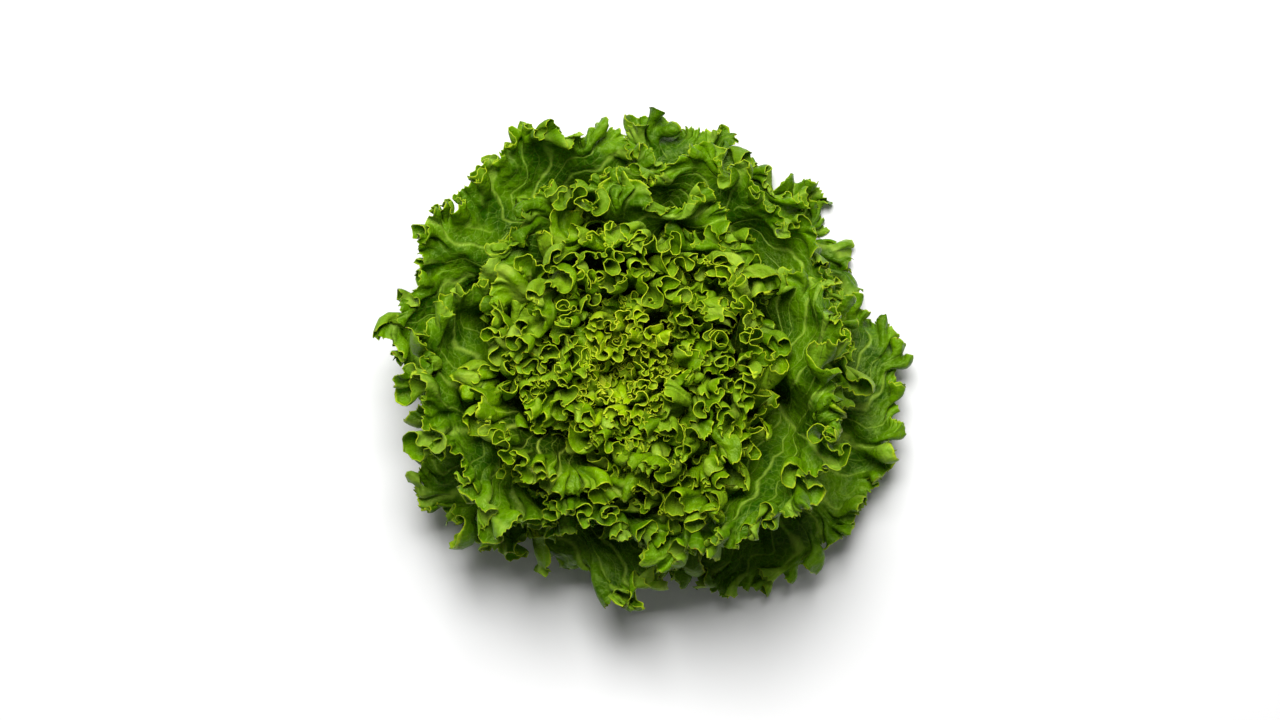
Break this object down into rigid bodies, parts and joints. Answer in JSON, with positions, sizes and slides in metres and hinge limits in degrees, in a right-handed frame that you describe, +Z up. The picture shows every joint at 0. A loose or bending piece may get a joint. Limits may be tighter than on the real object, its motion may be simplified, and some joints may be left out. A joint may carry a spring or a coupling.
{
  "type": "head of lettuce",
  "caption": "Head of green leaf lettuce: frilly-edged leaves spiralling round a short cut stem, spread outer leaves below and an upright heart, standing on its cut face.",
  "frame": {"origin": "centre of the stem's flat cut face, on the surface that the head stands on", "axes": "+Z up along the stem, from the cut face to the heart; +X and +Y horizontal; the heart leans a little towards -X"},
  "size_m": [0.2852, 0.2718, 0.1247],
  "materials": {
    "outer_leaf": "waxy satin leaf, deep green with pale veins and a yellow-green frilled edge",
    "middle_leaf": "waxy satin leaf, mid green with a yellow-green frilled edge",
    "heart_leaf": "young leaf, yellow-green, finely frilled",
    "stem": "cream-green stem with a slightly browned cut face"
  },
  "bodies": {
    "root": {"stem": "stem", "outer_leaf_01": "outer_leaf", "outer_leaf_02": "outer_leaf", "outer_leaf_03": "outer_leaf", "outer_leaf_04": "outer_leaf", "outer_leaf_05": "outer_leaf", "outer_leaf_06": "outer_leaf", "outer_leaf_07": "outer_leaf", "outer_leaf_08": "outer_leaf", "outer_leaf_09": "outer_leaf", "outer_leaf_10": "outer_leaf", "outer_leaf_11": "outer_leaf", "outer_leaf_12": "outer_leaf", "outer_leaf_13": "outer_leaf", "outer_leaf_14": "outer_leaf", "middle_leaf_01": "middle_leaf", "middle_leaf_02": "middle_leaf", "middle_leaf_03": "middle_leaf", "middle_leaf_04": "middle_leaf", "middle_leaf_05": "middle_leaf", "middle_leaf_06": "middle_leaf", "middle_leaf_07": "middle_leaf", "middle_leaf_08": "middle_leaf", "middle_leaf_09": "middle_leaf", "middle_leaf_10": "middle_leaf", "middle_leaf_11": "middle_leaf", "middle_leaf_12": "middle_leaf", "middle_leaf_13": "middle_leaf", "middle_leaf_14": "middle_leaf", "middle_leaf_15": "middle_leaf", "middle_leaf_16": "middle_leaf", "middle_leaf_17": "middle_leaf", "middle_leaf_18": "middle_leaf", "heart_leaf_01": "heart_leaf", "heart_leaf_02": "heart_leaf", "heart_leaf_03": "heart_leaf", "heart_leaf_04": "heart_leaf", "heart_leaf_05": "heart_leaf", "heart_leaf_06": "heart_leaf", "heart_leaf_07": "heart_leaf", "heart_leaf_08": "heart_leaf", "heart_leaf_09": "heart_leaf", "heart_leaf_10": "heart_leaf", "heart_leaf_11": "heart_leaf", "heart_leaf_12": "heart_leaf", "heart_leaf_13": "heart_leaf", "heart_leaf_14": "heart_leaf"}
  },
  "joints": []
}
